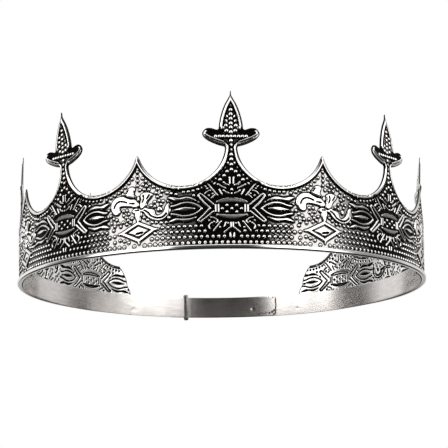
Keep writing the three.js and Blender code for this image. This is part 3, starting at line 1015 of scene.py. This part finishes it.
def strip(name, side, end_angle, radius_at, cut, marks, stains, body, node):
    """marks are domes (angle, z, radius, rise) and stains are dark spots (angle, z, radius).
    cut is the radius of the lower corner at the end."""
    angles = np.concatenate([np.arange(STRIP_FROM, end_angle - 2.5, 0.5),
                             np.linspace(end_angle - 2.5, end_angle, 18)])
    sections = []
    for angle in angles:
        left = (end_angle - angle) * PER_DEGREE
        high = STRIP_HIGH - 0.8 * rounding(left, END_ROUND)
        sections.append(strip_section(radius_at(angle), rounding(left, cut), high))
    sections = np.array(sections)
    inner_face = sections[..., 0] < (np.array([radius_at(a) for a in angles]) - 0.5)[:, None]
    run = (angles * PER_DEGREE)[:, None]
    for angle, z, radius, rise in marks:
        gap = np.hypot(run - angle * PER_DEGREE, sections[..., 1] - z) / radius
        sections[..., 0] -= inner_face * rise * np.sqrt(unit(1 - gap ** 2))
    stain_and_shade = np.zeros(sections.shape[:2])
    for angle, z, radius in stains:
        gap = np.hypot(run - angle * PER_DEGREE, sections[..., 1] - z) / radius
        stain_and_shade = np.maximum(stain_and_shade, unit(1.5 - 1.5 * gap))
    # painted dark reflection on the left strip from the keeper to its lapped end
    if side < 0:
        overlap = np.minimum((angles - KEEPER_ANGLE) / 2, (end_angle - 0.5 - angles) / 5)
        stain_and_shade = np.maximum(stain_and_shade, OVERLAP_PAINTED_SHADE * unit(overlap)[:, None])
    sections[..., 1] -= STRIP_SAG * eased((angles - SAG_FROM) / SAG_RUN)[:, None]
    sections[..., 0] += 0.012 * np.sin(run / 9.0 + 1.0) + 0.008 * np.sin(run / 3.7)
    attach(strip_object(name, side, angles, sections, stain_and_shade, node), body)


def left_radius(angle):
    """The left strip steps in between 128 and 144 degrees, to pass inside the right one."""
    return OUTER_LAYER - LAYER_STEP * eased((angle - 128) / 16)


strip_root("strip_root_left", -1, "left_band")
strip_root("strip_root_right", 1, "right_band")
strip("strip_left", -1, 201.3, left_radius, 2.4,
      [(193.3, 3.7, 0.75, 0.3), (172.5, 5.6, 0.4, 0.12), (150.8, 2.9, 0.9, -0.08)],
      [(200.9, 2.7, 1.0), (200.2, 1.9, 1.1), (199.2, 1.4, 0.9), (198.2, 1.6, 0.7),
       (197.3, 1.2, 0.8), (196.4, 1.5, 0.55), (195.6, 1.0, 0.7), (193.6, 4.5, 0.4),
       (200.5, 9.6, 0.6), (199.0, 9.9, 0.4), (150.8, 3.6, 0.4)],
      "left_arm", "left_band")
strip("strip_right", 1, 195.7, lambda angle: OUTER_LAYER, 0.8,
      [(150.8, 3.1, 0.6, -0.06), (109.0, 6.8, 0.7, -0.06)],
      [(151.1, 3.8, 0.4), (150.4, 2.4, 0.3)],
      "right_arm", "right_band")

# ======== keeper
KEEPER_S = -KEEPER_ANGLE * PER_DEGREE
KEEPER_HALF = 0.95
KEEPER_WALL = 0.8
KEEPER_GAP = 0.35
KEEPER_CORNER = 0.95
KEEPER_EDGE = 0.22  # worn edges
KEEPER_LEAN = 0.015  # it sits a little askew, about this height
KEEPER_MIDDLE = 4.8


def rounded_loop(r0, r1, z0, z1, corner):
    """Points round an upright rectangle with round corners, as (radius, z)."""
    middles = ((r1 - corner, z1 - corner), (r0 + corner, z1 - corner),
               (r0 + corner, z0 + corner), (r1 - corner, z0 + corner))
    return np.vstack([quarter(*middle, corner, np.linspace(90 * i, 90 * i + 90, 7))
                      for i, middle in enumerate(middles)])


keeper_low, keeper_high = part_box("keeper_loop")
inner_r = OUTER_LAYER - LAYER_STEP - STRIP_THICK - KEEPER_GAP - KEEPER_WALL
outer_r = OUTER_LAYER + KEEPER_GAP + KEEPER_WALL
keeper_bottom = keeper_low.z / MM - BASE_Z
keeper_top = keeper_high.z / MM - BASE_Z - STRIP_SAG
outer_loop = rounded_loop(inner_r, outer_r, keeper_bottom, keeper_top, KEEPER_CORNER)
inner_loop = rounded_loop(inner_r + KEEPER_WALL, outer_r - KEEPER_WALL,
                          keeper_bottom + KEEPER_WALL, keeper_top - KEEPER_WALL, 0.18)
half_band = [(-KEEPER_HALF, KEEPER_EDGE), (-KEEPER_HALF + 0.07, KEEPER_EDGE * 0.3),
             (-KEEPER_HALF + KEEPER_EDGE, 0), (0, 0)]
outer_band = half_band + [(-at, worn) for at, worn in half_band[-2::-1]]
inner_band = [outer_band[i] for i in (6, 4, 3, 2, 0)]
bands = []
for loop, other, band in ((outer_loop, inner_loop, outer_band),
                          (inner_loop, outer_loop, inner_band)):
    for at, worn in band:
        bands.append((at, loop + (other - loop) * (worn / KEEPER_WALL)))
ring = len(outer_loop)
points = []
for at, loop in bands:
    lean = KEEPER_LEAN * (loop[:, 1] - KEEPER_MIDDLE)
    points.append(on_ring(KEEPER_S + at + lean, loop[:, 1], loop[:, 0]))
index = np.arange(len(bands) * ring).reshape(len(bands), ring)
following = np.roll(index, -1, 0)
across_next = np.roll(index, -1, 1)
both_next = np.roll(following, -1, 1)
faces = np.stack([index, following, both_next, across_next], -1).reshape(-1, 4)
points = np.vstack(points)
keeper_uv = np.stack([points[:, 0], points[:, 2]], 1) * UV_SCALE
keeper = make_object("keeper", points, faces, keeper_uv, {}, "keeper_nickel", "keeper_loop")
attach(keeper, "right_arm")

# ======== stage, light, camera
FLOOR_Z = -0.14  # metres from here on
FLOOR_HALF = 3.0
floor_mesh = bpy.data.meshes.new("floor")
floor_mesh.from_pydata([(FLOOR_HALF * x, FLOOR_HALF * y, FLOOR_Z)
                        for x, y in ((-1, -1), (1, -1), (1, 1), (-1, 1))],
                       [], [(0, 1, 2, 3)])
floor_material, floor_tree, floor_shader = node_material("floor_white", 0.0)
plug(floor_tree, floor_shader, {"Base Color": (0.86, 0.86, 0.86, 1), "Roughness": 0.9})
floor_mesh.materials.append(floor_material)
floor = bpy.data.objects.new("floor", floor_mesh)
bpy.context.scene.collection.objects.link(floor)
floor.visible_glossy = False

overhead_data = bpy.data.lights.new("overhead", "AREA")
overhead_data.shape = "DISK"
overhead_data.size = 1.6
overhead_data.energy = 40
overhead = bpy.data.objects.new("overhead", overhead_data)
overhead.location = (0, 0, 1.6)
overhead.visible_glossy = False
overhead.visible_camera = False
bpy.context.scene.collection.objects.link(overhead)

world = bpy.data.worlds.new("studio")
bpy.context.scene.world = world
world.use_nodes = True
tree = world.node_tree
tree.nodes.clear()
direction = add(tree, "ShaderNodeTexCoord").outputs["Generated"]
split = add(tree, "ShaderNodeSeparateXYZ", {0: direction})
back_y = math_node(tree, "MULTIPLY", split.outputs["Y"], -1.0)
azimuth = math_node(tree, "ARCTAN2", split.outputs["X"], back_y)
share = math_node(tree, "MULTIPLY_ADD", azimuth, 1 / (2 * math.pi), 0.5)


def at_degrees(angle):
    return angle / 360 + 0.5


# brightness of the walls by azimuth, 0 towards the camera and positive towards +X
LIT = 2.4
WALLS = [
    (-180, 0.6), (-140, 0.95), (-116, 0.9), (-108, 0.4), (-98, 0.15), (-89, 0.07), (-81, 0.35),
    (-72, LIT), (-35, LIT), (-27, 0.22), (-21, 0.06), (12, 0.05), (18, 0.25), (27, LIT), (61, LIT),
    (71, 0.42), (84, 0.3), (103, 0.3), (118, 0.76), (140, 0.72), (180, 0.6)]
walls = ramp(tree, share, [(at_degrees(angle), grey(value)) for angle, value in WALLS])
ceiling = ramp(tree, split.outputs["Z"], [(0.62, grey(0.0)), (0.82, grey(1.0))])
sky = mix(tree, ceiling, walls, grey(1.4))
below = ramp(tree, math_node(tree, "MULTIPLY", split.outputs["Z"], -1.0),
             [(0.10, grey(0.0)), (0.30, grey(1.0))])
sky = mix(tree, below, sky, grey(0.02))
# the camera itself sees plain white
lit = add(tree, "ShaderNodeBackground", {"Color": sky, "Strength": 1.0})
plain = add(tree, "ShaderNodeBackground", {"Color": (1, 1, 1, 1), "Strength": 1.0})
chosen = add(tree, "ShaderNodeMixShader",
             {0: add(tree, "ShaderNodeLightPath").outputs["Is Camera Ray"],
              1: lit.outputs[0], 2: plain.outputs[0]})
add(tree, "ShaderNodeOutputWorld", {"Surface": chosen.outputs[0]})

bpy.context.scene.view_settings.view_transform = "Standard"

# the camera stands in front, a little below the crown, and looks up at it
EYE = (-0.02240, -0.48769, -0.08172)  # from the middle of the ring's bottom
AIM = (0.0013, 0, 0.0297)
ROLL = -0.01398
LENS = 88.57
ring_base = Vector((0, CENTRE_Y, BASE_Z)) * MM
camera_data = bpy.data.cameras.new("camera")
camera_data.sensor_width = 36
camera_data.lens = LENS
camera_data.clip_start = 0.01
camera = bpy.data.objects.new("camera", camera_data)
bpy.context.scene.collection.objects.link(camera)
eye = ring_base + Vector(EYE)
forward = (ring_base + Vector(AIM) - eye).normalized()
level = forward.cross(Vector((0, 0, 1))).normalized()
upward = level.cross(forward)
right_axis = level * math.cos(ROLL) + upward * math.sin(ROLL)
up_axis = upward * math.cos(ROLL) - level * math.sin(ROLL)
pose = Matrix((right_axis, up_axis, -forward)).transposed().to_4x4()
camera.matrix_world = Matrix.Translation(eye) @ pose
bpy.context.scene.camera = camera

bpy.context.view_layer.update()
